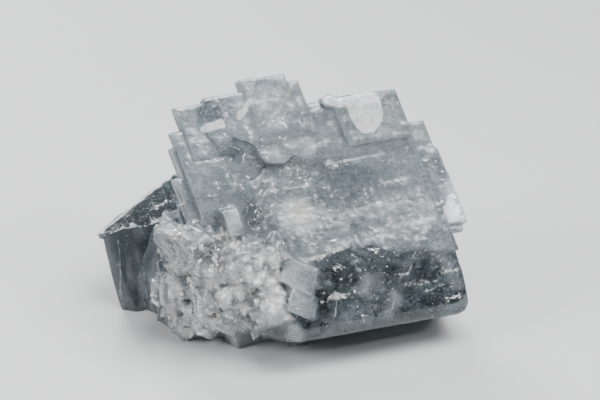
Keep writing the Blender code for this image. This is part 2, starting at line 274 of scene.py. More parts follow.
def bvh_of(mesh):
    bm = bmesh.new()
    bm.from_mesh(mesh)
    tree = BVHTree.FromBMesh(bm)
    bm.free()
    return tree


def hit_from_eye(tree, x, y):
    """The point and the normal where a picture pixel shows the surface."""
    hit, normal, _, _ = tree.ray_cast(Vector(EYE * MM), Vector(ray_at(x, y)))
    return (None, None) if hit is None else (np.array(hit) / MM, np.array(normal))


def seen_spots(tree, pixels):
    """The pixels that show the surface, with the point and the normal at each."""
    for pixel in pixels:
        middle, normal = hit_from_eye(tree, *pixel[:2])
        if middle is not None:
            yield pixel, middle, normal


class Shape:
    """Points and faces gathered for one mesh."""

    def __init__(self, points=(), faces=()):
        self.points = list(points)
        self.faces = list(faces)

    def tablet(self, middle, axes, half, cut):
        """Adds a rhombic tablet with a ridge all round, if it fits in the box."""
        corners = []
        for out, inset in ((-1, cut), (0, 0), (1, cut)):
            for a in (-1, 1):
                for b in (-1, 1):
                    reach = ((half[0] - inset) * a, (half[1] - inset) * b, half[2] * out)
                    corners.append(middle + sum(axis * r for axis, r in zip(axes, reach)))
        corners = np.array(corners)
        if (corners < LO + BOX_MARGIN).any() or (corners > HI - BOX_MARGIN).any():
            return
        self.faces.extend(tuple(len(self.points) + n for n in face) for face in TABLET_FACES)
        self.points.extend(corners)

    def hull(self, corners):
        """Adds the convex hull of some corners."""
        bm = bmesh.new()
        hull = bmesh.ops.convex_hull(bm, input=[bm.verts.new(Vector(c)) for c in corners])
        spare = [v for v in hull["geom_interior"] if isinstance(v, bmesh.types.BMVert)]
        bmesh.ops.delete(bm, geom=spare, context="VERTS")
        bm.verts.index_update()
        self.faces.extend(tuple(len(self.points) + v.index for v in f.verts) for f in bm.faces)
        self.points.extend(np.array(v.co) for v in bm.verts)
        bm.free()


def add_piece(name, shape, material=None):
    mesh = bpy.data.meshes.new(name)
    mesh.from_pydata([tuple(p * MM) for p in shape.points], [], shape.faces)
    if material:
        mesh.materials.append(material)
    obj = bpy.data.objects.new(name, mesh)
    PIECES.objects.link(obj)
    return obj


def remade(obj, kind, **settings):
    """Gives an object the mesh that a modifier makes of it."""
    step = obj.modifiers.new("step", kind)
    for key, value in settings.items():
        setattr(step, key, value)
    bpy.context.view_layer.update()
    whole = obj.evaluated_get(bpy.context.evaluated_depsgraph_get())
    obj.data = bpy.data.meshes.new_from_object(whole)
    obj.modifiers.clear()


def drawn(rng, *ranges):
    """One random number from each range."""
    return np.array([rng.uniform(low, high) for low, high in ranges])


def turned_axes(normal, rng, lean):
    """Crystal directions that lean up to some degrees away from a normal."""
    base = Vector(normal).to_track_quat("Y", "Z").to_matrix()
    spin = Matrix.Rotation(rng.uniform(0, 2 * math.pi), 3, "Y")
    tip = Matrix.Rotation(math.radians(rng.uniform(-lean, lean)), 3, "X")
    tip = tip @ Matrix.Rotation(math.radians(rng.uniform(-lean, lean)), 3, "Z")
    turn = np.array(base @ spin @ tip)
    side = math.cos(OBLIQUE) * turn[:, 1] - math.sin(OBLIQUE) * turn[:, 0]
    return turn[:, 0], side, turn[:, 2]


def wobbled(axes, rng, angle):
    """Crystal directions turned a little about a random line."""
    tilt = np.array(Matrix.Rotation(rng.uniform(-angle, angle), 3, Vector(rng.normal(size=3))))
    return [tilt @ axis for axis in axes]


# ---- materials
# Linear colours. The body goes from clear to milky; those in pairs vary between the two.
CLEAR_TINT = (0.11, 0.145, 0.166)
MILKY_TINT = (0.38, 0.412, 0.43)
WARM_TINT = (0.49, 0.465, 0.42)
CRUST_TINT = (0.56, 0.56, 0.545)
PATCH_TINTS = ((0.36, 0.365, 0.37), (0.44, 0.445, 0.45))
DRUSE_TINTS = ((0.42, 0.445, 0.455), (0.56, 0.565, 0.56))
GRAIN_TINTS = ((0.035, 0.02, 0.01), (0.22, 0.12, 0.05))
DUST_TINTS = ((0.55, 0.60, 0.62), (0.95, 0.96, 0.96))
VEIL_TINT = (0.86, 0.89, 0.90, 1)
ABSORBED_TINT = (0.74, 0.785, 0.80, 1)
FLOOR_TINT = (0.42, 0.425, 0.43, 1)
SKY_TINT = (0.86, 0.89, 0.93, 1)

BARITE_IOR = 1.64
VEIL_IOR = 1.9
ABSORPTION = 42.0


class Tree:
    """Short ways to lay out shader nodes."""

    def __init__(self, name):
        self.material = bpy.data.materials.new(name)
        self.material.use_nodes = True
        self.nodes = self.material.node_tree.nodes
        self.links = self.material.node_tree.links
        self.shader = self.nodes["Principled BSDF"]
        self.output = self.nodes["Material Output"]

    def feed(self, socket, value):
        if isinstance(value, bpy.types.NodeSocket):
            self.links.new(value, socket)
        else:
            socket.default_value = value

    def surface(self, values):
        """Feeds the shader's own sockets."""
        for name, value in values.items():
            self.feed(self.shader.inputs[name], value)

    def node(self, kind, inputs=(), **settings):
        made = self.nodes.new("ShaderNode" + kind)
        for key, value in settings.items():
            setattr(made, key, value)
        for key, value in dict(inputs).items():
            self.feed(made.inputs[key], value)
        return made

    def math(self, operation, *values, clamp=False):
        return self.node("Math", enumerate(values), operation=operation, use_clamp=clamp).outputs[0]

    def add(self, *values, clamp=False):
        return self.math("ADD", *values, clamp=clamp)

    def times(self, *values):
        return self.math("MULTIPLY", *values)

    def vector(self, operation, *values):
        made = self.node("VectorMath", enumerate(values), operation=operation)
        return made.outputs["Value" if operation == "DOT_PRODUCT" else "Vector"]

    def ramp(self, value, low, high, to_low=0.0, to_high=1.0):
        inputs = {"Value": value, "From Min": low, "From Max": high, "To Min": to_low, "To Max": to_high}
        return self.node("MapRange", inputs, interpolation_type="SMOOTHSTEP").outputs["Result"]

    def noise(self, where, scale, detail=2.0, rough=0.5, distortion=0.0):
        inputs = {"Vector": where, "Scale": scale, "Detail": detail, "Roughness": rough}
        return self.node("TexNoise", {**inputs, "Distortion": distortion}).outputs["Fac"]

    def mix(self, share, first, second):
        made = self.node("Mix", data_type="RGBA")
        for n, entry in ((0, share), (6, first), (7, second)):
            self.feed(made.inputs[n], (*entry, 1) if isinstance(entry, tuple) else entry)
        return made.outputs[2]

    def barite(self, colour, through, rough, radius, scale):
        """Half-clear barite, which scatters the light that goes in."""
        self.surface({"Base Color": colour, "Transmission Weight": through, "Roughness": rough})
        self.surface({"IOR": BARITE_IOR, "Subsurface Weight": 1.0})
        self.surface({"Subsurface Radius": radius, "Subsurface Scale": scale})

    def bump(self, height, strength, distance):
        made = self.node("Bump", {"Strength": strength, "Distance": distance, "Height": height})
        self.surface({"Normal": made.outputs["Normal"]})

    def attribute(self, name):
        return self.node("Attribute", attribute_name=name).outputs["Fac"]

    def millimetres(self):
        """The point on the piece, in millimetres."""
        return self.vector("MULTIPLY", self.node("TexCoord").outputs["Object"], (1 / MM, 1 / MM, 1 / MM))

    def own_place(self, mm):
        """That point's place in the main crystal."""
        rel = self.vector("SUBTRACT", mm, tuple(CORNER))
        parts = [self.vector("DOT_PRODUCT", rel, tuple(axis)) for axis in (P_AXIS, Q_AXIS, OUT)]
        return self.node("CombineXYZ", enumerate(parts)).outputs[0]


def body_milk(t, mm, mottle, grain, clear, frost_and_painted_light):
    """Clouds, mottling and grain, less where clear, more where frosted and where light is painted on, and
    less where shade is painted on.
    """
    cloud = t.noise(mm, 0.16, 3, 0.6, 0.5)
    milk = t.add(t.ramp(cloud, 0.35, 0.65, 0.27, 0.43), t.ramp(mottle, 0.36, 0.64, -0.09, 0.09))
    milk = t.add(milk, t.ramp(grain, 0.3, 0.7, -0.07, 0.07))
    milk = t.times(milk, t.ramp(clear, 0, 1, 1.0, 0.55))
    return t.add(milk, t.times(frost_and_painted_light, t.ramp(grain, 0.3, 0.7, 0.75, 1.15)), clamp=True)


def body_colour(t, milk, grain, frost_and_painted_light, crust, spot):
    """Clear to milky, warm in one place, sugary on the crust and, as painted light, on the shaded feet
    below it, greyish white on the patches.
    """
    tint = t.mix(milk, CLEAR_TINT, MILKY_TINT)
    tint = t.mix(t.times(t.attribute("warm"), 0.8), tint, WARM_TINT)
    sugar = t.times(t.ramp(grain, 0.3, 0.7, 0.35, 0.8), t.ramp(frost_and_painted_light, -0.1, 0.6, 0.3, 1.0))
    tint = t.mix(t.times(crust, sugar), tint, CRUST_TINT)
    return t.mix(spot, tint, t.mix(t.ramp(grain, 0.3, 0.7), *PATCH_TINTS))


def body_through(t, milk, clear, crust, spot):
    """More light goes in where clear, less where milky, crusted or patched."""
    through = t.ramp(clear, 0, 1, 0.72, 0.95)
    through = t.math("SUBTRACT", through, t.times(milk, 0.6), clamp=True)
    through = t.times(through, t.math("SUBTRACT", 1.0, t.times(spot, 0.9)))
    return t.times(through, t.ramp(crust, 0.0, 1.0, 1.0, 0.8))


def body_rough(t, milk, grain, spot):
    """Glossy on the broad faces, duller on the sides and patches and where milky."""
    rough = t.add(t.ramp(grain, 0.3, 0.8, 0.02, 0.14), t.times(milk, 0.06))
    normal = t.node("NewGeometry").outputs["Normal"]
    broad = t.math("ABSOLUTE", t.vector("DOT_PRODUCT", normal, tuple(OUT)))
    rough = t.add(rough, t.ramp(broad, 0.5, 0.9, 0.12, 0.0))
    return t.add(rough, t.times(spot, 0.2))


def body_height(t, own, mottle, grain, clear, crust, spot):
    """Mottling, grain, raised patches, and small facets, a few of which lean a lot."""
    cells = t.node("TexVoronoi", {"Vector": t.vector("MULTIPLY", own, (1.0, 1.3, 1.3)), "Scale": 1.1})
    lean = t.vector("SUBTRACT", cells.outputs["Color"], (0.5, 0.5, 0.5))
    off = t.vector("SUBTRACT", t.vector("MULTIPLY", own, (1.1, 1.43, 1.43)), cells.outputs["Position"])
    rare = t.times(t.vector("DOT_PRODUCT", lean, lean), 4.0)
    facet = t.times(t.vector("DOT_PRODUCT", lean, off), rare)
    height = t.add(t.times(mottle, 0.35), t.times(grain, 0.15))
    height = t.add(height, t.times(spot, 0.25))
    facet_share = t.add(t.ramp(clear, 0, 1, 0.45, 0.1), t.times(crust, 0.6))
    return t.add(height, t.times(facet, facet_share))


def body_material():
    """Half-clear barite, laid out by what mark_regions stores."""
    t = Tree("crystal")
    mm = t.millimetres()
    own = t.own_place(mm)
    clear, frost_and_painted_light, crust, patch = (t.attribute(name) for name in ("clear", "frost_and_painted_light", "crust", "patch"))
    mottle = t.noise(t.vector("MULTIPLY", own, (0.75, 1.0, 1.0)), 1.6, 4, 0.7, 0.6)
    grain = t.noise(mm, 3.0, 3, 0.7, 0.4)
    milk = body_milk(t, mm, mottle, grain, clear, frost_and_painted_light)
    ragged = t.add(patch, t.times(t.math("SUBTRACT", grain, 0.5), 0.9))
    spot = t.ramp(ragged, -0.12, 0.12, 1.0, 0.0)
    colour = body_colour(t, milk, grain, frost_and_painted_light, crust, spot)
    through = body_through(t, milk, clear, crust, spot)
    t.barite(colour, through, body_rough(t, milk, grain, spot), (1.0, 1.15, 1.3), 0.004)
    t.bump(body_height(t, own, mottle, grain, clear, crust, spot), 0.5, 0.0003)
    absorb = t.node("VolumeAbsorption", {"Color": ABSORBED_TINT, "Density": ABSORPTION})
    t.links.new(absorb.outputs["Volume"], t.output.inputs["Volume"])
    return t.material


def druse_material():
    """The crust's sharp crystals: paler than the body, and less clear."""
    t = Tree("druse")
    mm = t.millimetres()
    grain = t.noise(mm, 2.0, 3, 0.6)
    cloud = t.ramp(t.noise(mm, 0.3, 3, 0.6), 0.35, 0.65, 0.0, 0.6)
    milk = t.add(cloud, t.ramp(grain, 0.3, 0.7, 0.0, 0.4))
    through, rough = t.ramp(milk, 0.0, 1.0, 0.45, 0.2), t.ramp(grain, 0.3, 0.8, 0.02, 0.14)
    t.barite(t.mix(milk, *DRUSE_TINTS), through, rough, (1.0, 1.1, 1.2), 0.003)
    t.bump(grain, 0.3, 0.0002)
    return t.material


def speckled_material(name, scale, tints, rough):
    """A solid colour that varies between two."""
    t = Tree(name)
    t.surface({"Base Color": t.mix(t.noise(t.millimetres(), scale, 2), *tints), "Roughness": rough})
    return t.material


def veil_material():
    """Healed cracks and platelets: bright, and clearer in places."""
    t = Tree("veil")
    through = t.ramp(t.noise(t.millimetres(), 1.6, 3, 0.6), 0.35, 0.6, 0.9, 0.3)
    t.surface({"Base Color": VEIL_TINT, "Transmission Weight": through, "Roughness": 0.12, "IOR": VEIL_IOR})
    return t.material


# ---- where things are on the specimen
# The crust of small crystals, and the bladed crystal in it, as outlines in picture pixels.
CRUST_OUTLINE = (
    (152, 284), (158, 276), (166, 262), (160, 240), (160, 226), (172, 222), (182, 226), (196, 234),
    (214, 236), (226, 232), (244, 236), (254, 244), (262, 246), (276, 254), (296, 260), (316, 272),
    (320, 290), (316, 310), (300, 318), (286, 322), (262, 330), (240, 328), (218, 330), (204, 338),
    (186, 338), (172, 326), (160, 312), (150, 298),
)
BLADE_OUTLINE = (
    (279, 264), (288, 258), (300, 259), (317, 266), (322, 286), (317, 300), (319, 320), (292, 316),
    (286, 300), (284, 288),
)

# White patches, as outlines in picture pixels: four on the main crystal and one on the left crystal.
PATCHES = (
    ((348, 97), (352, 94), (372, 92), (378, 95), (381, 103), (383, 113), (381, 124), (374, 132), (364, 134),
     (357, 129), (350, 117), (347, 107)),
    ((322, 97), (330, 95), (336, 98), (348, 97), (349, 105), (340, 108), (332, 106), (324, 104)),
    ((200, 128), (206, 123), (214, 122), (220, 119), (226, 122), (224, 128), (214, 130), (206, 133),
     (201, 132)),
    ((236, 119), (237, 113), (244, 108), (246, 101), (251, 98), (253, 101), (249, 108), (246, 114),
     (240, 120)),
    ((130, 217), (142, 202), (155, 193), (172, 188), (174, 191), (163, 198), (150, 206), (140, 214)),
)

# Millimetres to a picture pixel, and the distance stored where no patch is near.
PX_MM = 0.22
FAR = 5.0

# How far behind the main face the marks taken from the picture reach.
BEHIND = -30

# Soft ovals over the front, in picture pixels: middle, reach, turn, and how much whiter each is. Those
# noted below are painted light and shade.
STROKES = (
    # (309, 147) is painted light on a step face that lies in shade.
    (300, 214, 20, 15, 0, 0.55), (252, 290, 38, 33, 0, 0.25), (309, 147, 8, 10, 0, 0.45),
    (302, 276, 19, 17, 10, 0.5), (303, 305, 14, 12, 20, 0.55), (200, 326, 18, 12, 10, 0.4),
    (165, 293, 14, 13, 20, 0.45), (215, 285, 52, 46, 0, 0.1), (262, 108, 30, 28, 0, 0.2),
    (405, 150, 30, 22, 0, 0.05), (420, 215, 30, 16, 0, 0.08), (330, 138, 26, 16, 0, 0.05),
    (200, 190, 30, 34, 0, 0.1), (232, 220, 9, 15, 5, 0.55), (366, 238, 24, 5, -12, 0.08),
    # (276, 155) is painted light on the shaded underside of the upper layer's ragged edge, and a painted
    # highlight along that edge.
    (276, 155, 16, 9, 15, 0.35), (186, 115, 10, 8, 0, 0.2), (400, 285, 8, 26, 25, 0.4),
    # (335, 322) here and (430, 321) on the next line are a painted highlight along the slab's lower rim.
    (362, 285, 14, 10, 0, 0.25), (388, 314, 6, 5, 0, 0.35), (335, 322, 40, 4, -4, 0.1),
    # (430, 311) is painted shade on the downward bevel just above that rim.
    (430, 321, 40, 3, -7, 0.15), (430, 311, 34, 4, -8, -0.4), (456, 282, 5, 26, -14, 0.2),
    # (232, 155) and (254, 158) are painted shade in the hollow under the upper layer's ledge.
    (232, 155, 12, 9, 15, -0.22), (254, 158, 9, 9, 0, -0.15), (211, 110, 10, 9, 0, -0.4),
    (390, 102, 9, 8, 0, -0.35), (205, 254, 16, 10, 0, -0.3), (186, 282, 6, 5, 0, -0.15),
    (252, 215, 9, 16, 10, -0.12), (338, 284, 16, 19, 0, -0.7), (415, 279, 26, 15, -10, -0.5),
    (440, 298, 25, 6, -8, -0.4), (322, 300, 7, 12, 0, -0.5), (340, 190, 34, 26, 0, -0.12),
    # (458, 202) is a painted glare on the bright tablet.
    (458, 202, 12, 24, -20, 0.6), (240, 337, 24, 11, 0, 0.4), (295, 334, 8, 12, 0, 0.6),
    # Painted light on the feet, which sit in shade under the crust: (190, 334) here, and (240, 337) and
    # (295, 334) on the line above.
    (190, 334, 24, 10, 0, 0.35), (274, 331, 9, 7, 0, -0.4), (316, 327, 10, 6, 0, -0.4),
    (262, 290, 24, 30, 30, 0.3), (170, 262, 20, 22, 0, -0.15), (128, 292, 14, 22, 0, 0.12),
    (131, 246, 16, 8, 0, 0.15), (158, 262, 12, 14, 0, 0.15), (110, 262, 5, 26, 0, 0.15),
    (140, 308, 26, 6, 10, 0.2), (165, 318, 14, 10, 30, 0.2), (218, 258, 12, 8, 0, -0.3),
)

# The same for where the front is clearer than around it.
CLEARINGS = (
    (302, 331, 40, 11, -5, 0.9), (205, 252, 18, 10, 0, 0.6), (186, 282, 7, 6, 0, 0.2),
    (211, 108, 12, 10, 0, 0.12), (390, 102, 10, 10, 0, 0.12), (254, 214, 12, 20, 10, 0.35),
    (234, 156, 12, 10, 15, 0.3), (345, 250, 22, 10, -8, 0.4), (340, 190, 40, 30, 0, 0.2),
    (190, 228, 14, 8, 0, 0.3),
)

# The upper edge of the clear slab, in picture pixels.
BRINK = ((290, 330, 372, 400, 453), (262, 254, 246, 250, 251))

# The one warm place on the main face: its middle and reach, in picture pixels.
WARM_MIDDLE, WARM_REACH = (301, 213), (15, 12)


class Skin:
    """A mesh's points, with their normals and where they lie in the main crystal and the picture."""

    def __init__(self, mesh):
        self.mesh = mesh
        self.points = coords(mesh)
        self.out = rows(mesh.vertex_normals, "vector")
        self.own = own_frame(self.points)
        self.seen = seen_at(self.points)

    def crust(self):
        """How far each point belongs to the crust, from 0 to 1."""
        share = smooth(3, -3, outline_gap(self.seen, CRUST_OUTLINE))
        share = share * smooth(0.1, -0.2, self.out[:, 1]) * (self.own[:, 2] > -25)
        return share * smooth(-1, 3, outline_gap(self.seen, BLADE_OUTLINE))


# ---- the body
def body_mesh(crystals):
    """One skin round the CAD solid and what has grown on it."""
    source = bpy.data.objects[NODE].data
    shift = len(source.vertices)
    both = Shape(coords(source), [tuple(f.vertices) for f in source.polygons])
    both.points += crystals.points
    both.faces += [tuple(shift + n for n in face) for face in crystals.faces]
    obj = add_piece("crystal_body", both)
    remade(obj, "REMESH", mode="VOXEL", voxel_size=VOXEL * MM)
    return obj


def terraces(own, rng, noise, count):
    """Thin rhombic growth steps on the broad face, as a height."""
    wobble = 0.22 * noise.layered(own, 1.4, 2)
    height = np.zeros(len(own))
    for _ in range(count):
        p, q = rng.uniform(-52, 6), rng.uniform(3, 58)
        wide, tall = rng.uniform(1.0, 7), rng.uniform(0.7, 5)
        inside = np.minimum(wide - np.abs(own[:, 0] - p), tall - np.abs(own[:, 1] - q)) + wobble
        height += rng.uniform(-0.07, 0.07) * smooth(-0.06, 0.1, inside)
    return np.clip(height, -0.4, 0.4)


def side_lines(points, own, noise):
    """Fine lines along the main crystal's layers, for its sides."""
    level = own[:, 2] + 0.12 * noise.at(points, 5)
    return noise.layered(np.stack([level, 0.02 * own[:, 0], 0 * own[:, 2]], 1), 0.5, 2)


def columns(points, noise):
    """The left crystal's upright ribs."""
    upright = stretched(points, 0.12)
    return 0.45 * np.abs(noise.at(upright, 3.1)) + 0.1 * noise.layered(upright, 1.1, 2)


def fill_gaps(mesh, points, out, share, rounds):
    """Raises the bottoms of narrow gaps, where there is a share, toward what is around them."""
    a, b = edge_ends(mesh)
    kept = (share[a] > 0) & (share[b] > 0)
    a, b = a[kept], b[kept]
    size = len(points)
    count = edges_at(a, b, size)
    smoothed = points.copy()
    for _ in range(rounds):
        for n in range(3):
            total = np.bincount(a, smoothed[b, n], size) + np.bincount(b, smoothed[a, n], size)
            smoothed[:, n] = np.where(share > 0, total / count, smoothed[:, n])
    rise = ((smoothed - points) * out).sum(1)
    return points + (share * np.maximum(rise, 0))[:, None] * out


def roughen(obj):
    """Adds growth steps, lines on the sides, ribs on the left and facets on the crust."""
    skin = Skin(obj.data)
    out, own = skin.out, skin.own
    noise = Noise(0)
    rng = stream(0)
    facing = out @ OUT
    broad = smooth(0.9, 0.98, facing)
    crust = skin.crust()
    points = fill_gaps(obj.data, skin.points, out, crust, 12)
    left = smooth(-21, -26, points[:, 0]) * smooth(26, 22, points[:, 2]) * (1 - crust)
    back = smooth(0.1, 0.5, out[:, 1]) * smooth(34, 24, points[:, 2])
    lift = 0.04 * noise.layered(points, 2.4)
    lift += (1 - smooth(0.2, 0.6, np.abs(facing))) * 0.08 * side_lines(points, own, noise)
    lift += broad * (terraces(own, rng, noise, 130) + 0.025 * facets(own, 1.1, 11))
    lift = lift * (1 - 0.6 * left) + left * (np.abs(out[:, 2]) < 0.5) * columns(points, noise)
    rough = np.maximum(crust, 0.7 * back)
    lift += rough * (0.14 * facets(points, 2.3, 12) + 0.05 * facets(points, 0.95, 13))
    lift *= smooth(0.2, 1.2, points[:, 2])
    set_coords(obj.data, points + out * lift[:, None])


def whitening_and_painted_light(skin, noise, away, left, clear, crust):
    """What whitens the body besides the strokes: the back, the left crystal, convex edges, partly frosting
    and partly a painted highlight, and painted light in the crust's hollows that cancels the shade in them.
    """
    out = skin.out
    back = away * (0.06 + 0.3 * smooth(0.1, 0.9, noise.layered(skin.points + 60, 4.0, 2)))
    streaks = smooth(0.0, 0.7, noise.layered(stretched(skin.points, 0.15), 1.7, 3))
    ribs = left * ((out[:, 2] < 0.4) * 0.3 * streaks - 0.02)
    # Convex edges are whitened: partly frosting, partly a painted highlight along the edges.
    edges = (0.7 + 0.5 * crust) * (1 - 0.2 * clear) * (1 - 0.6 * left * (out[:, 2] > 0.4))
    edges *= 1 - 0.55 * smooth(0.92, 0.985, out @ OUT) * (1 - crust)
    crest = crests(skin.mesh, skin.points, out)
    # Painted light: the crust's hollows are whitened to cancel the shade that falls in them.
    painted_hollow_light = crust * (0.08 + 1.2 * np.clip(-0.03 - crest, 0, 0.4))
    return back, ribs, np.clip(crest - 0.13, 0, 0.4) * edges, painted_hollow_light


def patch_distance(skin, facing):
    """How far each point is from a white patch that can be seen, negative inside."""
    least = np.where(skin.points[:, 0] < -24, 0.0, 0.3)
    shown = (facing > least) & (skin.own[:, 2] > BEHIND)
    nearest = np.full(len(facing), FAR)
    for outline in PATCHES:
        nearest = np.minimum(nearest, np.where(shown, PX_MM * outline_gap(skin.seen, outline), FAR))
    return nearest


def mark_regions(obj):
    """Stores how warm, crusted, clear and white each point is, and how far from a white patch; the white is
    partly frost and partly painted light and shade.
    """
    skin = Skin(obj.data)
    points, out, own, seen = skin.points, skin.out, skin.own, skin.seen
    noise = Noise(1)
    wavy = noise.layered(points, 5.0)
    fine = noise.layered(points + 40, 1.8)
    ragged = 0.3 * wavy + 0.3 * fine
    facing = -(out * unit_rows(points - EYE)).sum(1)
    front = smooth(-0.15, 0.1, facing)
    away = np.maximum(smooth(-0.1, 0.4, out[:, 1]), smooth(0.7, 0.95, np.abs(out[:, 0])))
    crust = skin.crust()
    brink = np.interp(seen[:, 0], *BRINK) + 2.5 * wavy
    slab = smooth(-5, 5, seen[:, 1] - brink) * smooth(-42, -33, own[:, 0]) * smooth(-26, -20, own[:, 2])
    left = smooth(-22.0, -26.0, points[:, 0] + 0.8 * wavy) * smooth(27, 23, points[:, 2])
    feet = smooth(8.5, 5.5, points[:, 2] + wavy) * smooth(8, 2, points[:, 0]) * smooth(0, -6, points[:, 1])
    windows = soft_ovals(seen, CLEARINGS, ragged) * front
    clear = np.clip(np.maximum(np.maximum(slab, left), 0.45 * feet) + windows, 0, 1)
    clear = np.maximum(clear, away * np.clip(0.5 + 0.6 * noise.layered(points, 6.0, 2), 0, 1))
    frost_and_painted_light = soft_ovals(seen, STROKES, ragged) * front * (own[:, 2] > BEHIND)
    for more in whitening_and_painted_light(skin, noise, away, left, clear, crust):
        frost_and_painted_light += more
    warm = np.hypot(*((seen - WARM_MIDDLE) / WARM_REACH).T) + 0.3 * fine
    store(obj.data, "warm", smooth(1.2, 0.3, warm) * front)
    # The feet take part of the crust's paler tint: painted light that lifts the shade under the crust.
    store(obj.data, "crust", np.maximum(crust, 0.7 * feet))
    store(obj.data, "clear", clear)
    store(obj.data, "frost_and_painted_light", frost_and_painted_light)
    store(obj.data, "patch", patch_distance(skin, facing))


# ---- crystals grown on the body
# Growth in the angle of a step: the corners of its upper side in the main crystal, and its depth.
FILLS = (
    (((-35, 15, 0), (1.4, 15, 0), (-35, 19.2, 0), (1.4, 19.2, 0), (-35, 28, -0.58),
      (1.4, 28, -0.58)), -2),
    (((-19, 32, -0.6), (2.2, 32, -0.6), (-19, 36.5, -0.1), (2.2, 36.5, -0.1), (-19, 38, -0.1),
      (2.2, 38, -0.1)), -2),
    (((-23.6, 42, 1.25), (-20.6, 49, 1.25), (-24.6, 40.9, 1.2), (-12, 39, -0.15), (-13, 50, -0.1),
      (-22.5, 38.2, -0.6), (-26.5, 39.2, -0.6)), -3),
    (((-49, 42, 0.4), (-49, 36, 0.4), (-40, 36, 0.35), (-49.2, 25, -1.5), (-36, 22, -0.6),
      (-35, 36, -0.6), (-38, 40, -0.3)), -4),
    (((-12.7, 41, 0.3), (-12.8, 49.2, 0.3), (-15.5, 41, -0.08), (-15, 50, -0.08)), -1.5),
    (((-12.7, 40.7, 0.3), (2.1, 40.7, 0.3), (-13.5, 38.6, -0.08), (2.4, 38.6, -0.08)), -1.5),
    (((-43.5, 42.5, 0.5), (-39.5, 47.5, 0.6), (-33.5, 47, 0.4), (-30, 42, -0.5), (-35, 37.5, -0.7),
      (-43, 39, 0.3)), -2),
)

# Larger crystals of the crust: picture pixel; length, height and thickness; turn, tip back and roll.
CRUST_CRYSTALS = (
    ((299, 275), (8, 6.2, 1.8), (-14, 26, 18)), ((303, 304), (6.4, 5.4, 1.6), (8, 24, 28)),
    ((284, 316), (2.6, 3.2, 2), (-10, 18, -20)), ((268, 270), (2.6, 3.2, 2.4), (-34, 34, 50)),
    ((238, 288), (2.4, 3.2, 2), (-40, 30, 8)), ((262, 298), (3, 2.6, 2.2), (32, 24, -34)),
    ((246, 308), (2.4, 2.8, 2), (-36, 20, 40)), ((226, 302), (2, 3.2, 2), (40, 26, 10)),
    ((203, 304), (1.8, 3.2, 1.6), (-30, 18, 36)), ((191, 311), (2, 3.6, 1.8), (34, 10, -18)),
    ((156, 291), (1.9, 5, 2.2), (-26, 14, 4)), ((164, 293), (2, 5.6, 2.4), (-20, 12, 2)),
    ((172, 295), (2.2, 5.2, 2.4), (-12, 14, -4)), ((180, 290), (2.2, 4.4, 2.2), (-2, 18, -10)),
    ((166, 235), (2.6, 4, 2.4), (-34, 8, 14)), ((186, 238), (3, 3, 2.4), (-38, 30, -44)),
    ((204, 242), (2.8, 2.6, 2.2), (32, 36, 30)), ((196, 324), (3.4, 2.6, 2.4), (-34, 16, 20)),
    ((208, 330), (2.8, 2.4, 2), (38, 12, -24)), ((184, 330), (2.6, 2.6, 2), (-32, 10, 10)),
    ((268, 250), (3, 1.8, 1.4), (-8, 44, 6)),
)

# How many random crystals the crust, the back and the druse get at most.
CRUST_COUNT = 400
BACK_COUNT = 300
DRUSE_COUNT = 110


def set_crystal(shape, tree, spot, sizes, angles):
    """Adds one crystal, sized and turned as given, where a picture pixel shows the surface."""
    middle = hit_from_eye(tree, *spot)[0]
    yaw, tilt, roll = (math.radians(angle) for angle in angles)
    turn = Matrix.Rotation(yaw, 3, "Z") @ Matrix.Rotation(-tilt, 3, "X")
    turn = np.array(turn @ Matrix.Rotation(roll, 3, "Y"))
    axes = (turn[:, 0], math.cos(OBLIQUE) * turn[:, 2] - math.sin(OBLIQUE) * turn[:, 0], -turn[:, 1])
    half = np.array(sizes) / 2
    shape.tablet(middle + axes[2] * 0.05 * sizes[2], axes, half, 0.45 * half.min())


def crust_ways(rng, count, sideways, lowest, lean):
    """Directions for bundles of crystals that face the front."""
    return [
        turned_axes((rng.uniform(-sideways, sideways), -1, rng.uniform(lowest, 0.9)), rng, lean)
        for _ in range(count)
    ]


def crust_spots(rng, low, high, tries, inset, off_blade):
    """Random picture pixels within the crust, and clear of its bladed crystal."""
    spots = rng.uniform(low, high, (tries, 2))
    inside = outline_gap(spots, CRUST_OUTLINE) < -inset
    return spots[inside & (outline_gap(spots, BLADE_OUTLINE) > off_blade)]


def crust_tablets(shape, tree, rng):
    """Adds crystals crowded over the crust, most leaning like others near them."""
    ways = crust_ways(rng, 40, 0.5, -0.1, 55)
    centres = rng.uniform((150, 222), (320, 340), (len(ways), 2))
    spots = crust_spots(rng, (148, 220), (322, 342), 3000, 1, 2)[:CRUST_COUNT]
    for spot, middle, normal in seen_spots(tree, spots):
        size = 0.9 + 2.6 * rng.beta(1.2, 2.6)
        if rng.uniform() < 0.8:
            pick = np.argmin(np.hypot(*(centres - spot).T) + rng.uniform(0, 6, len(centres)))
            axes = wobbled(ways[pick], rng, 0.2)
        else:
            axes = turned_axes(normal, rng, 55)
        half = size * drawn(rng, (0.4, 0.9), (0.6, 1.1), (0.3, 0.65))
        shape.tablet(middle - normal * size * 0.5, axes, half, half[:2].min() * rng.uniform(0.25, 0.7))


def hollows(tree):
    """Narrow hollows in the crust: points part of the way back up."""
    around, deep, raised = 2, 0.5, 0.7
    xs, ys = np.arange(146, 324, 3), np.arange(218, 342, 3)
    hits = [hit_from_eye(tree, x, y)[0] for y in ys for x in xs]
    depth = np.array([np.nan if hit is None else np.linalg.norm(hit - EYE) for hit in hits])
    depth = depth.reshape(len(ys), len(xs))
    found = []
    for row in range(around, len(ys) - around):
        for col in range(around, len(xs) - around):
            usual = np.nanmedian(depth[row - around:row + around + 1, col - around:col + around + 1])
            spot = np.array([(xs[col], ys[row])], float)
            if depth[row, col] - usual > deep and outline_gap(spot, CRUST_OUTLINE)[0] < 0:
                found.append(EYE + ray_at(*spot[0]) * (usual + raised))
    return found


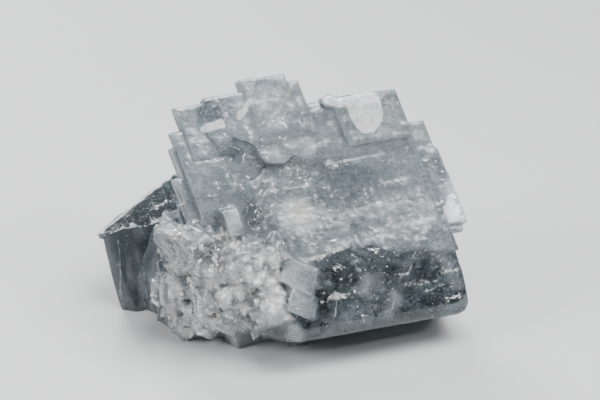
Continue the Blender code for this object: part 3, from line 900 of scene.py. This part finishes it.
def back_spots(rng, count, low, high):
    """Random spots on the CAD solid that face the back, with their normals."""
    mesh = bpy.data.objects[NODE].data
    points = coords(mesh)
    tris = np.array([f.vertices[:] for f in mesh.polygons])
    a, b, c = points[tris[:, 0]], points[tris[:, 1]], points[tris[:, 2]]
    normal = np.cross(b - a, c - a)
    area = np.linalg.norm(normal, axis=1)
    normal /= np.maximum(area, 1e-9)[:, None]
    middle = (a + b + c) / 3
    share = area * (normal[:, 1] > 0.2) * (middle[:, 2] > low) * (middle[:, 2] < high)
    picks = rng.choice(len(tris), count, p=share / share.sum())
    u, v = rng.uniform(size=(2, count, 1))
    u, v = np.where(u + v > 1, 1 - u, u), np.where(u + v > 1, 1 - v, v)
    return a[picks] + u * (b - a)[picks] + v * (c - a)[picks], normal[picks]


def back_tablets(shape, rng):
    """Adds crystals over the back, but for the left crystal and the bright tablet."""
    left_end, right_end = -27, 440
    for middle, normal in zip(*back_spots(rng, BACK_COUNT, 1.0, 30.0)):
        if middle[0] < left_end or seen_at(middle[None])[0, 0] > right_end:
            continue
        size = 0.8 + 2.6 * rng.beta(1.1, 3.0)
        axes = turned_axes(normal, rng, 50)
        half = size * drawn(rng, (0.5, 1.0), (0.6, 1.2), (0.25, 0.5))
        shape.tablet(middle - normal * size * 0.35, axes, half, half.min() * rng.uniform(0.2, 0.6))


def grown(tree):
    """All that has grown on the CAD solid and joins its skin."""
    rng = stream(3)
    shape = Shape()
    for top, deep in FILLS:
        shape.hull([from_own(p, q, level) for p, q, k in top for level in (k, deep)])
    for spot, sizes, angles in CRUST_CRYSTALS:
        set_crystal(shape, tree, spot, sizes, angles)
    crust_tablets(shape, tree, rng)
    for middle in hollows(tree):
        half = drawn(rng, (0.6, 1.0), (0.6, 1.0), (0.5, 0.8))
        shape.tablet(middle, turned_axes((rng.uniform(-0.5, 0.5), -1, 0.4), rng, 70), half, 0.3)
    back_tablets(shape, rng)
    return shape


# ---- pieces on the surface
def druse(tree):
    """Sharp crystals standing in the crust, in bundles that lean the same way."""
    rng = stream(21)
    shape = Shape()
    ways = crust_ways(rng, 60, 0.6, -0.2, 60)
    centres = rng.uniform((150, 222), (285, 340), (len(ways), 2))
    spots = crust_spots(rng, (148, 220), (290, 342), 2500, 2, 4)[:DRUSE_COUNT]
    for spot, middle, normal in seen_spots(tree, spots):
        size = 0.5 + 1.1 * rng.beta(1.2, 3.0)
        axes = wobbled(ways[np.argmin(np.hypot(*(centres - spot).T))], rng, 0.25)
        half = size * drawn(rng, (0.5, 0.9), (0.8, 1.2), (0.3, 0.6))
        shape.tablet(middle - normal * size * 0.5, axes, half, half.min() * rng.uniform(0.3, 0.8))
    return shape


# Places that glint, in picture pixels, and how many of them have smaller glints round them.
GLINTS = (
    (262, 140), (268, 147), (258, 150), (290, 160), (296, 165), (292, 172), (300, 178), (295, 183),
    (340, 162), (396, 194), (392, 160), (405, 161), (430, 165), (213, 254), (212, 250), (238, 246),
    (246, 243), (243, 250), (254, 248), (268, 250), (278, 254), (282, 257), (207, 292), (192, 292),
    (179, 296), (197, 288), (226, 275), (240, 273), (266, 277), (234, 293), (252, 205), (255, 212),
    (258, 228), (376, 252), (322, 302), (329, 299), (341, 279), (398, 128), (426, 127), (282, 128),
)
SURROUNDED = 20

# The way to the light that glints throw back.
TO_LIGHT = np.array((0.35, -0.10, 0.93))


def sparkle_spots(rng):
    """Pixels and sizes of the sparkles: glints, some round them, and more all over."""
    spots = [(x, y, 0.3) for x, y in GLINTS]
    spots += [(*spot, 0.15) for x, y in GLINTS[:SURROUNDED] for spot in rng.normal((x, y), 6, (6, 2))]
    wide = rng.uniform((150, 80), (465, 335), (1500, 2))
    crusted = outline_gap(wide, CRUST_OUTLINE) < 0
    spots += [(x, y, rng.uniform(0.12, 0.3)) for (x, y), near in zip(wide, crusted) if near]
    return spots + [(x, y, 0.09) for (x, y), near in zip(wide, crusted) if not near][:300]


def sparkles(tree):
    """Tiny sharp crystals that catch the light, but for the left crystal's top."""
    rng = stream(4)
    shape = Shape()
    to_eye = unit(EYE)
    for (x, y, size), middle, normal in seen_spots(tree, sparkle_spots(rng)):
        if x < 175 and y < 238:
            continue
        axes = turned_axes(unit(to_eye + TO_LIGHT + 0.35 * rng.normal(size=3)), rng, 1)
        axes = (axes[0], axes[2], axes[1]) if rng.uniform() < 0.6 else turned_axes(normal, rng, 60)
        half = size * drawn(rng, (0.7, 1.5), (0.5, 1.0), (0.5, 0.9))
        shape.tablet(middle - normal * size * 0.25, axes, half, half.min() * rng.uniform(0.2, 0.6))
    return shape


# Brown grains, in picture pixels, with their sizes.
GRAINS = (
    (214.2, 314, 0.42), (212.5, 316, 0.3), (215.5, 316.5, 0.3), (261, 285, 0.22), (262.5, 286.5, 0.14),
    (249.7, 306, 0.16), (174, 120, 0.28), (183, 118, 0.22), (181, 112, 0.18), (327, 326, 0.15),
    (186, 203, 0.18), (176, 127, 0.15),
)


def grains(tree):
    """Brown grains on the surface."""
    rng = stream(8)
    shape = Shape()
    for (_, _, size), middle, normal in seen_spots(tree, GRAINS):
        axes = turned_axes(normal, rng, 60)
        shape.tablet(middle - normal * size * 0.2, axes, np.full(3, size), size * 0.5)
    return shape


# ---- pieces inside the clear crystal
# Cracks seen edge on, as lines in picture pixels, each with how deep it runs.
CRACKS = (
    (((416, 251), (409, 264), (400, 277), (395, 295), (391, 314)), 8),
    (((418, 254), (411, 268), (404, 282)), 5),
    (((358, 261), (355, 270), (349, 277), (342, 281)), 5),
    (((333, 291), (336, 303), (336, 312), (333, 320), (330, 327)), 4),
    (((354, 154), (355, 166), (358, 180)), 3),
    (((250, 203), (246, 214), (250, 227), (259, 236)), 3),
    (((256, 206), (254, 218), (261, 230)), 3),
    (((143.7, 268), (146, 284), (148, 299)), 3),
    (((428, 291), (442, 285), (456, 282)), 4),
    (((315, 105), (317, 120)), 2),
    (((214, 166), (219, 152), (228, 145), (238, 149), (248, 158), (256, 165), (267, 168)), 1.2),
    (((238, 149), (243, 156), (244, 165)), 1),
    (((262, 300), (275, 292), (283, 279)), 1),
    (((176, 305), (188, 292), (200, 278), (211, 262), (216, 248)), 0.8),
    (((118, 240), (121, 262), (120, 286), (123, 300)), 1.2),
    (((300, 246), (320, 243), (342, 238), (360, 236)), 1),
    (((205, 197), (222, 194), (236, 190)), 0.8),
)

# The way that cracks run into the crystal, and the pixels from one of their points to the next.
INWARD = -OUT + np.array((0, 0, -0.15))
CRACK_STEP = 3.0


def crack_spots(tree, line, noise):
    """Wavy points on the surface along a line in the picture."""
    line = np.array(line, float)
    reached = np.concatenate([[0], np.cumsum(np.hypot(*np.diff(line, axis=0).T))])
    along = np.arange(0, reached[-1], CRACK_STEP)
    seen = np.stack([np.interp(along, reached, line[:, n]) for n in (0, 1)], 1)
    hits = np.array([middle for _, middle, _ in seen_spots(tree, seen)])
    return hits + 0.25 * noise.shifts(hits, 1.2, (0, 19, 43))


def add_crack(shape, hits, depth, noise):
    """Adds a closed wavy sheet that runs inward, with six points at each spot."""
    across = unit_rows(np.cross(np.gradient(hits, axis=0), INWARD))
    levels = ((OUT * 0.03, 1), (INWARD * depth * 0.35, 0.8), (INWARD * depth, 0.4))
    start = len(shape.points)
    for spot, way in zip(hits, across):
        wave = 0.5 * noise.at((spot + 71)[None], 2.0)[0]
        thick = 0.012 + 0.05 * max(0.0, noise.at((spot + 29)[None], 1.5)[0])
        for level, (reach, share) in enumerate(levels):
            for side in (-1, 1):
                shape.points.append(spot + reach + way * (side * thick * share + wave * level * 0.4))
    last = start + 6 * (len(hits) - 1)
    for a in range(start, last, 6):
        for one, two in ((0, 1), (1, 3), (3, 5), (5, 4), (4, 2), (2, 0)):
            shape.faces.append((a + one, a + two, a + 6 + two, a + 6 + one))
    for one in (start, start + 2):
        shape.faces.append((one, one + 2, one + 3, one + 1))
    for one in (last, last + 2):
        shape.faces.append((one, one + 1, one + 3, one + 2))


def cracks(tree):
    """Cracks whose near edge just reaches the surface."""
    noise = Noise(9)
    shape = Shape()
    for line, depth in CRACKS:
        add_crack(shape, crack_spots(tree, line, noise), depth, noise)
    return shape


def dust(tree):
    """Specks and bubbles under the front of the clear slab, and fewer in the pile."""
    rng = stream(15)
    noise = Noise(16)
    shape = Shape()
    slab = rng.uniform((322, 254), (464, 322), (1500, 2))
    pile = rng.uniform((190, 100), (450, 258), (900, 2))
    for _, middle, normal in seen_spots(tree, np.concatenate([slab, pile])):
        if noise.at(middle[None], 3.0)[0] < rng.uniform(-0.5, 0.3):
            continue
        middle = middle - OUT * (0.02 if rng.uniform() < 0.3 else 0.15 + 5.0 * rng.uniform() ** 2)
        half = rng.uniform(0.02, 0.05) * np.array((rng.uniform(0.8, 2.2), 1.0, 0.6))
        shape.tablet(middle, turned_axes(normal, rng, 90), half, half.min() * 0.6)
    return shape


# The ways that healed cracks face: most lie along the main face.
VEIL_WAYS = (OUT, OUT, OUT, np.cross(SIDE, OUT), np.cross(ALONG, OUT))


def add_veil(shape, rng, middle, reach, rings, sides):
    """Adds one closed, cupped flake with a ragged rim."""
    normal = unit(VEIL_WAYS[rng.randint(len(VEIL_WAYS))] + 0.18 * rng.normal(size=3))
    across = unit(np.cross(normal, rng.normal(size=3)))
    other = np.cross(normal, across) * rng.uniform(0.35, 1.0)
    turns = np.linspace(0, 2 * math.pi, sides, endpoint=False)
    rim = reach * (0.75 + 0.25 * rng.uniform(-1, 1, sides))
    start, per = len(shape.points), 1 + rings * sides
    for level in (-1, 1):
        shape.points.append(middle + normal * 0.02 * level)
        for share in (ring / rings for ring in range(1, rings + 1)):
            rise = normal * (0.05 * reach * share**2 + 0.02 * level * (1 - 0.8 * share))
            for turn, far in zip(turns, rim * share):
                spot = middle + across * far * math.cos(turn) + other * far * math.sin(turn)
                shape.points.append(spot + rise)
    pairs = [(s, (s + 1) % sides) for s in range(sides)]
    for base in (start, start + per):
        for s, t in pairs:
            fan = [(base, base + 1 + s, base + 1 + t)]
            for one in range(base + 1, base + per - sides, sides):
                fan.append((one + s, one + sides + s, one + sides + t, one + t))
            shape.faces += [face[::-1] for face in fan] if base == start else fan
    low, high = start + per - sides, start + 2 * per - sides
    shape.faces += [(low + s, low + t, high + t, high + s) for s, t in pairs]


def veils(tree, number, count, reaches, deepest, rings, sides):
    """Healed cracks inside the main crystal, clear of its surface."""
    rng = stream(number)
    noise = Noise(number + 1)
    shape = Shape()
    made = 0
    while made < count:
        middle = from_own(rng.uniform(-50, 5), rng.uniform(2, 56), rng.uniform(deepest, 1.0))
        near, normal, _, gap = tree.find_nearest(Vector(middle * MM))
        reach = min(rng.uniform(*reaches), 0.85 * gap / MM)
        if (Vector(middle * MM) - near).dot(normal) > 0 or reach < 0.6 * reaches[0]:
            continue
        made += 1
        add_veil(shape, rng, middle, reach, rings, sides)
    points = np.array(shape.points)
    return Shape(points + 0.12 * noise.shifts(points, 1.3, (0, 31, 57)), shape.faces)


# ---- the pieces
body = body_mesh(grown(bvh_of(bpy.data.objects[NODE].data)))
roughen(body)
remade(body, "DECIMATE", ratio=min(1.0, BODY_TRIS / (2 * len(body.data.polygons))))
mark_regions(body)
body.data.materials.append(body_material())
body.data.shade_smooth()
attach(body, "root")
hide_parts(NODE)

surface = bvh_of(body.data)
sharp = druse_material()
healed = veil_material()
for name, shape, material in (
    ("druse", druse(surface), sharp),
    ("sparkles", sparkles(surface), sharp),
    ("cracks", cracks(surface), healed),
    ("veils", veils(surface, 5, 420, (0.6, 4.0), -17.0, 3, 12), healed),
    ("flakes", veils(surface, 20, 1500, (0.2, 0.9), -4.5, 1, 7), healed),
    ("dust", dust(surface), speckled_material("dust", 0.7, DUST_TINTS, 0.25)),
    ("grains", grains(surface), speckled_material("grain", 2.5, GRAIN_TINTS, 0.45)),
):
    piece = add_piece(name, shape, material)
    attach(piece, "root")


# ---- studio
# Lamps, all pointed at the middle of the floor: name, place and size in metres, and watts.
LAMPS = (
    ("overhead", (0.18, -0.14, 0.54), 0.34, 8.2),
    ("glints", (0.46, -0.36, 0.50), 0.05, 1.6),
    ("left", (-0.55, -0.25, 0.38), 0.3, 6.0),
    ("behind", (-0.22, 0.55, 0.42), 0.3, 7.0),
)


def add_floor():
    bm = bmesh.new()
    bmesh.ops.create_grid(bm, x_segments=1, y_segments=1, size=2.0)
    mesh = bpy.data.meshes.new("floor")
    bm.to_mesh(mesh)
    bm.free()
    floor = bpy.data.objects.new("floor", mesh)
    STUDIO.objects.link(floor)
    t = Tree("floor")
    t.surface({"Base Color": FLOOR_TINT, "Roughness": 0.7})
    mesh.materials.append(t.material)


def add_sky():
    world = bpy.data.worlds.new("studio")
    world.use_nodes = True
    background = world.node_tree.nodes["Background"]
    background.inputs["Color"].default_value = SKY_TINT
    background.inputs["Strength"].default_value = 0.2
    bpy.context.scene.world = world


def add_lamp(name, place, size, power):
    light = bpy.data.lights.new(name, "AREA")
    light.energy = power
    light.size = size
    lamp = bpy.data.objects.new(name, light)
    lamp.location = place
    lamp.rotation_euler = (-Vector(place)).to_track_quat("-Z", "Y").to_euler()
    STUDIO.objects.link(lamp)


def add_camera():
    camera = bpy.data.objects.new("camera", bpy.data.cameras.new("camera"))
    camera.data.lens = LENS
    camera.data.sensor_width = 36
    camera.data.clip_start = 0.01
    camera.location = Vector(EYE) * MM
    camera.rotation_euler = (math.radians(90 - PITCH), 0, 0)
    STUDIO.objects.link(camera)
    bpy.context.scene.camera = camera


add_floor()
add_sky()
for lamp in LAMPS:
    add_lamp(*lamp)
add_camera()
